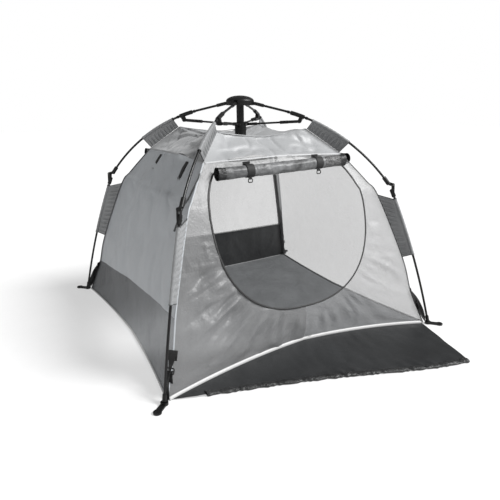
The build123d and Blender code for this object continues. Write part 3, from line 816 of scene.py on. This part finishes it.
class Roll:
    """A flap rolled up under the roof's seam, its layers showing at the ends, with two ties."""

    def __init__(self, side):
        self.cloth, self.side = Cloth(), side
        self.out, self.aside = outward(FACING[side]), outward(FACING[side] + 90)
        self.base = self.out * ROLL_OUT + Vector((0, 0, ROLL_HEIGHT))
        self.tilt = 0.032 if side == "front" else 0.0
        self.ends = {-1: -ROLL_REACH, 1: ROLL_REACH + (32 if side == "back" else 0)}

    def spoke(self, angle):
        """The direction at an angle round the roll, from outward through up."""
        return self.out * math.cos(angle) + Vector((0, 0, math.sin(angle)))

    def surface(self, x, angle):
        """A point of the lumpy skin, pinched at the ties and flared at the ends."""
        lump = 1.7 * wobble(x / 38, math.cos(angle) * 1.6, math.sin(angle) * 1.6)
        lump += 1.1 * wobble(x / 13, math.cos(angle) * 3, math.sin(angle) * 3 + 7)
        pinch = 1.6 * math.exp(-((abs(x) - TIE_AT) / 11) ** 2)
        flare = 2.2 * math.exp(-(min(x - self.ends[-1], self.ends[1] - x) / 10) ** 2)
        radius = ROLL_RADIUS - 1.6 + lump - pinch + flare
        sag = self.tilt * x - 2.0 * math.cos(math.pi * x / (2 * ROLL_REACH))
        return self.base + self.aside * x + self.spoke(angle) * radius + Vector((0, 0, sag))

    def make_skin(self, sides=40, steps=150):
        """The roll's skin, bound at its ends; the lining shows along part of the front one."""
        def colour(row, _):
            if row < 8 or row > steps - 8:
                return "hem"
            return "dark_roll" if self.side == "front" and row > 122 else "roll"
        along = spread(self.ends[-1] + 1, self.ends[1] - 1, steps)
        rows = [[self.surface(x, 2 * math.pi * k / sides) for k in range(sides)] for x in along]
        self.cloth.grid(rows, colour, closed=True)

    def make_end(self, end, turns=3.6):
        """The spiral of layers at one end, and a disc that closes it behind them."""
        middle = self.base + Vector((0, 0, self.tilt * self.ends[end]))
        rows = []
        for i in range(121):
            spoke = self.spoke(2 * math.pi * turns * i / 120) * (21.5 - 17.5 * i / 120)
            rows.append([middle + self.aside * (self.ends[end] - end * (1 + depth)) + spoke
                         for depth in (-1.5 + i * 0.04, 9, 30)])
        self.cloth.grid(rows, lambda r, c: "zip" if c == 0 else "hem")
        centre = middle + self.aside * (self.ends[end] - end * 31)
        disc = [[centre + self.spoke(a) * r for a in spread(0, 2 * math.pi, 24)] for r in (21, 1)]
        self.cloth.grid(disc, "hem")

    def make_tie(self, x):
        """A webbing loop from the seam round the roll, with a ring on its tail."""
        centre = self.base + self.aside * x + Vector((0, 0, self.tilt * x))
        turns = spread(math.radians(150), math.radians(-200), 30)
        loop = [centre + self.spoke(a) * (ROLL_RADIUS + 0.2) for a in turns]
        seam = centre - self.out * 20 + Vector((0, 0, 31))
        self.cloth.ribbon([seam] + loop, self.aside, 30, "webbing", 1.4)
        tail = [centre + self.out * 9 - Vector((0, 0, 24.0)), centre + self.out * 12 - Vector((0, 0, 30))]
        self.cloth.ribbon(tail, self.aside, 15, "webbing", 1.4)
        ring = centre + self.out * 12 - Vector((0, 0, 35))
        square_ring(self.cloth, ring, 17, 12, self.aside, UP, 1.9)


def make_roll(side, node_right, node_left):
    """One rolled flap, cut in halves that go with the ribs at its ends."""
    roll = Roll(side)
    roll.make_skin()
    for end in (-1, 1):
        roll.make_end(end)
    for x in (-TIE_AT, TIE_AT):
        roll.make_tie(x)
    roll.cloth.cut(ORIGIN, roll.aside)
    names = {1: node_right, -1: node_left}
    pieces = roll.cloth.objects(lambda c: f"rolled.{names[1 if lateral_of(side, c) > 0 else -1]}")
    for label, obj in pieces.items():
        cad = label.split(".")[1]
        sign = 1 if cad == node_right else -1
        corner = corner_of(side, sign)
        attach(obj, f"rib_{corner}")
        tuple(roll.aside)
        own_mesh(obj)
        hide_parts(cad)


def make_wall_ties():
    """Ties that hang open on the closed left flap."""
    for number, (lateral, tip) in enumerate(((-120, 660), (180, 661))):
        cloth, side = Cloth(), "left"
        line = []
        for z in (719, 712, 700, 688, 676, tip):
            s, t = where(side, lateral * (1 + (719 - z) * 0.0006), z)
            line.append(on_side(side, s, t) + outward(180) * (3 + 1.5 * math.sin(z / 9)))
        across = outward(FACING[side] + 90)
        cloth.ribbon(line, across, 25, "webbing", 1.6)
        ring = line[-1] + outward(180) * 2 - Vector((0, 0, 5))
        square_ring(cloth, ring, 18, 15, across, Vector((0, 0.1, 1)), 1.6, "steel")
        obj = cloth.object(f"hanging_tie.{number}")
        roof_piece(obj, corner_of(side, lateral))


def make_straps():
    """Webbing from each lower corner of the body to its foot, with a buckle and a loose tail."""
    for corner, azimuth in CORNERS.items():
        cloth, across, line = Cloth(), outward(azimuth + 90), []
        shares = spread(0, 1, 14)
        for f in shares:
            r, z = (a + (b - a) * f for a, b in zip(STRAP_TOP, STRAP_FOOT))
            line.append(turned(r + 3 * math.sin(math.pi * f), 0, z, azimuth))
        twists = [math.radians(58 * math.sin(math.pi * f)) for f in shares]
        turns = [Matrix.Rotation(twist, 4, line[-1] - line[0]) for twist in twists]
        cloth.ribbon(line, [turn @ across for turn in turns], STRAP_WIDTH, "webbing", 1.8)
        patch = [turned(r, 0, z, azimuth) for r, z in ((765, 152), (770, 138), (776, 120))]
        cloth.ribbon(patch, across, 34, "webbing", 2.6)
        middle = line[5] + outward(azimuth) * 1.5
        down = line[6] - line[5]
        square_ring(cloth, middle, 31, 20, across, down, 2.2)
        cloth.tube([middle - across * 14, middle + across * 14], 2.0, "plastic", sides=6)
        tail = [middle + outward(azimuth) * 2, middle + outward(azimuth) * 6 - Vector((0, 0, 18)),
                middle + outward(azimuth) * 5 - Vector((0, 0, 42))]
        cloth.ribbon(tail, across, 24, "webbing", 1.6)
        obj = cloth.object(f"foot_strap.{corner}")
        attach(obj, f"leg_{corner}")
        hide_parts(f"strap_{corner}")


# ---- floor and apron ----------------------------------------------------------------------
def floor_point(side, s, v):
    """A point of the floor: v is 0 at its middle and 1 at the hem of a side."""
    edge = on_side(side, s, HEM)
    x, y = edge.x * v, edge.y * v
    rise = (edge.z - 1.6) * max(0.0, (v - 0.8) / 0.2) ** 2
    puff = 2.2 + 2.6 * wobble(x / 120, y / 120, 5)
    puff += 1.6 * wobble(x / 37, y / 60, 9)
    inside = max(0.0, min(1.0, (1 - v) * 9)) * min(1.0, v * 12 + 0.2)
    return Vector((x, y, 1.6 + max(0.0, puff) * inside + rise))


def make_floor():
    for corner, azimuth in CORNERS.items():
        cloth = Cloth()
        for side in FACING:
            for sign in (-1, 1):
                if corner_of(side, sign) == corner:
                    across, along = spread(0, sign, 40), spread(0.004, 1, 46)
                    cloth.grid([[floor_point(side, s, v) for s in across] for v in along], "floor")
        obj = cloth.object(f"floor_sheet.{corner}")
        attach(obj, f"floor_{corner}")
        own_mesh(obj)
        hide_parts(f"floor_{corner}")
        sheet(obj, "floor_" + corner.split("_")[0])


def outer_edge(s):
    """The apron's outer edge for s from -1 at the left to 1 at the right."""
    points = APRON_LEFT if s < 0 else APRON_RIGHT
    f = (s + 1 if s < 0 else s) * (len(points) - 1)
    i = min(int(f), len(points) - 2)
    a, b = Vector(points[i]), Vector(points[i + 1])
    return a.lerp(b, f - i)


def apron_point(s, v):
    """A point of the apron: v is 0 at the binding and 1 at the gathered hem."""
    inner = on_side("front", s * 0.985, HEM) - Vector((0, 2, 1.5))
    outer = outer_edge(s)
    x, y = inner.x + (outer.x - inner.x) * v, inner.y + (outer.y - inner.y) * v
    drop = (1 - v) ** 2.2
    wave = 2.0 + 2.6 * wobble(x / 110, y / 90, 2)
    wave += 1.5 * wobble(x / 34, y / 80, 4)
    pucker = 3.2 * max(0.0, v - 0.72) / 0.28 * (0.6 + math.sin(x / 11 + 2 * math.sin(x / 47)))
    z = 3.0 + (inner.z - 3.0) * drop + max(0.0, wave + max(0.0, pucker)) * min(1.0, v * 8)
    return Vector((x, y, max(2.2, z)))


def hem_ring(s, turn):
    """A point round the puffed hem, pinched every few centimetres by its gathering thread."""
    centre = outer_edge(s)
    x = centre.x
    pinch = abs(math.sin(x / 23 + 1.7 * wobble(x / 160, 0, 0)))
    high = 3.6 + 4.6 * pinch ** 0.5
    high += 1.2 * wobble(x / 9, math.cos(turn) * 2, math.sin(turn) * 2)
    wide = 12.5 + 2.6 * pinch + 2.0 * math.sin(x / 5.3 + 3 * math.sin(x / 19)) * math.cos(turn)
    return Vector((x, centre.y + 13 + wide * math.cos(turn), 4.2 + max(-3.8, high * math.sin(turn))))


def make_apron():
    cloth = Cloth()
    across = spread(-1, 1, 200)
    cloth.grid([[apron_point(s, v) for s in across] for v in spread(0, 0.985, 44)], "apron")
    turns = [2 * math.pi * k / 12 for k in range(12)]
    cloth.grid([[hem_ring(s, a) for a in turns] for s in spread(-1, 1, 420)], "hem", closed=True)
    cloth.cut(ORIGIN, Vector((1, 0, 0)))
    pieces = cloth.objects(lambda c: "apron_sheet.right" if c.x > 0 else "apron_sheet.left")
    for label, obj in pieces.items():
        end = label.split(".")[1]
        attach(obj, f"apron_{end}")
        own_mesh(obj)
        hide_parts(f"apron_{end}")
        sheet(obj, f"apron_{end}")


# ---- hardware -----------------------------------------------------------------------------
RIVETS = (("rivets", "rib", 260, 856, 8.8), ("knee_rivets", "leg", 659.4, 604.9, 9.2))


def make_rivets(corner, azimuth):
    """Domed rivet heads on both faces of the bracket and of the knee, riding the rib and the leg."""
    across = outward(azimuth + 90)
    for name, body, r, z, half in RIVETS:
        cloth = Cloth()
        for sign in (-1, 1):
            a = turned(r, sign * half, z, azimuth)
            cloth.tube([a, a + across * (sign * 0.9), a + across * (sign * 1.4)],
                       lambda f: 3.0 - 1.4 * f * f, "steel", sides=14, up=UP)
        obj = cloth.object(f"{name}.{corner}")
        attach(obj, f"{body}_{corner}")


def make_collars(corner, azimuth):
    """Ferrule collars on a rib."""
    cloth = Cloth()
    for radius in (212, 290):
        (cx, cz), (nx, nz) = on_rib(radius)
        along = turned(nz, 0, -nx, azimuth)
        centre = turned(cx, 0, cz, azimuth)
        cloth.tube([centre + along * step for step in (-5, -4, 4, 5)],
                   lambda f: 6.2 if 0.1 < f < 0.9 else 5.2, "plastic", sides=16, up=outward(azimuth + 90))
    obj = cloth.object(f"collars.{corner}")
    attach(obj, f"rib_{corner}")


def make_hardware():
    for corner, azimuth in CORNERS.items():
        make_rivets(corner, azimuth)
        make_collars(corner, azimuth)


NODE_MATERIAL = (("rib_pins", "steel"), ("strut_pins", "steel"), ("rib_", "rod"), ("leg_", "rod"),
                 ("centre_tube", "tube"), ("", "plastic"))


def paint_frame():
    for name, obj in frame["nodes"].items():
        kind = next(kind for start, kind in NODE_MATERIAL if name.startswith(start))
        for slot in obj.material_slots:
            slot.material = MATERIAL[kind]


# ---- studio -------------------------------------------------------------------------------
SKY, KEY, FILL = 0.20, 5.0, 0.38
STUDIO = 14.0                # half the width of the studio floor, in metres


def sun(name, towards, angle, strength):
    """A distant soft light; towards points from the object to it."""
    data = bpy.data.lights.new(name, "SUN")
    data.angle, data.energy = math.radians(angle), strength
    obj = bpy.data.objects.new(name, data)
    obj.rotation_euler = (-Vector(towards)).to_track_quat("-Z", "Y").to_euler()
    bpy.context.scene.collection.objects.link(obj)


def make_studio():
    mesh = bpy.data.meshes.new("studio_floor")
    corners = [(x * STUDIO, y * STUDIO, -0.001) for x, y in ((-1, -1), (1, -1), (1, 1), (-1, 1))]
    mesh.from_pydata(corners, [], [(0, 1, 2, 3)])
    mesh.materials.append(MATERIAL["ground"])
    ground = bpy.data.objects.new("studio_floor", mesh)
    bpy.context.scene.collection.objects.link(ground)
    world = bpy.data.worlds.new("studio")
    world.use_nodes = True
    tree = world.node_tree
    background = tree.nodes["Background"]
    seen = node(tree, "ShaderNodeLightPath").outputs["Is Camera Ray"]
    strength = node(tree, "ShaderNodeMath", operation="MULTIPLY_ADD")
    strength.inputs[1].default_value, strength.inputs[2].default_value = 1 - SKY, SKY
    tree.links.new(seen, strength.inputs[0])
    tree.links.new(strength.outputs[0], background.inputs["Strength"])
    background.inputs["Color"].default_value = (1.0, 1.0, 1.0, 1)
    bpy.context.scene.world = world
    sun("key", (0.53, -0.50, 0.69), 22, KEY)
    sun("fill", (-0.75, -0.35, 0.56), 60, FILL)
    bpy.context.scene.view_settings.view_transform = "Standard"


def make_camera():
    data = bpy.data.cameras.new("camera")
    data.sensor_width, data.lens = 36.0, 36.0
    data.shift_x, data.shift_y = -0.0442, 0.0016
    data.clip_end = 60
    obj = bpy.data.objects.new("camera", data)
    azimuth, elevation = math.radians(-30.56), math.radians(17.02)
    back = Vector((math.sin(azimuth) * math.cos(elevation), -math.cos(azimuth) * math.cos(elevation),
                   math.sin(elevation)))
    obj.location = (-1.0138, -1.9864, 0.9506)
    obj.rotation_mode = "QUATERNION"
    obj.rotation_quaternion = (-back).to_track_quat("-Z", "Y")
    bpy.context.scene.collection.objects.link(obj)
    bpy.context.scene.camera = obj


make_camera()
make_studio()
paint_frame()
make_sides()
make_webs()
make_corner_tapes()
make_bindings()
make_seams()
make_roll("front", "front_roll_right", "front_roll_left")
make_roll("back", "back_roll_left", "back_roll_right")
make_roll("right", "right_roll_back", "right_roll_front")
make_wall_ties()
make_straps()
make_floor()
make_apron()
make_hardware()
